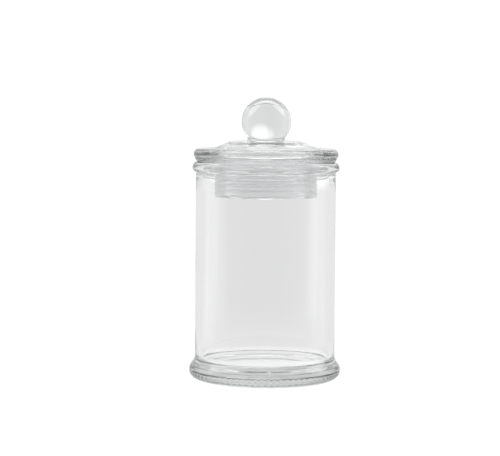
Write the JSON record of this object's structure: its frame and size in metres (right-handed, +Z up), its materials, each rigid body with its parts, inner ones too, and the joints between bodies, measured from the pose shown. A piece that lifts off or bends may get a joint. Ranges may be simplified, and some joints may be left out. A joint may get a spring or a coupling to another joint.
{
  "type": "lidded glass jar",
  "caption": "Small round clear glass jar with a flared heavy foot, a beaded mouth, a lift-off ball-knob lid and a soft sealing ring on the lid's plug.",
  "frame": {"origin": "centre of the bearing ring that the jar stands on", "axes": "+Z up along the jar's axis of revolution, towards the knob; X and Y are any two horizontal directions"},
  "size_m": [0.0644, 0.0644, 0.1203],
  "materials": {
    "jar_glass": "clear fire-polished soda-lime glass",
    "lid_glass": "clear pressed soda-lime glass",
    "seal_plastic": "translucent soft polyethylene, satin"
  },
  "bodies": {
    "jar": {"glass_jar": "jar_glass"},
    "seal": {"sealing_ring": "seal_plastic"},
    "lid": {"glass_lid": "lid_glass"}
  },
  "joints": [
    {"name": "lid_lift", "type": "slide", "parent": "jar", "child": "seal", "axis": [0, 0, 1], "range_m": [0, 0.05]},
    {"name": "lid_turn", "type": "hinge", "parent": "seal", "child": "lid", "pos_m": [0, 0, 0.0945], "axis": [0, 0, 1], "continuous": true}
  ]
}
